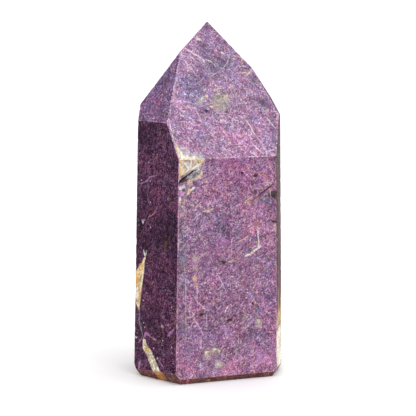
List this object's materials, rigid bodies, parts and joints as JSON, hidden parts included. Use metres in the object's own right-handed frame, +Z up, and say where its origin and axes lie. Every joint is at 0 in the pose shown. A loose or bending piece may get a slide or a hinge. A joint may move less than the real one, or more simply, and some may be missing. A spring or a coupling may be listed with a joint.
{
  "type": "purpurite point",
  "caption": "Polished six-sided purple mineral point that stands upright on its flat base, with sloping facets that meet in an off-centre tip.",
  "frame": {"origin": "middle of the footprint, on the sawn base", "axes": "+Z up the stone, from the base to the tip; -Y out of the broad front flat; +X to the right as seen from the front"},
  "size_m": [0.0385, 0.028, 0.0898],
  "materials": {
    "stone": "gloss"
  },
  "bodies": {
    "root": {"purpurite_point": "stone"}
  },
  "joints": []
}
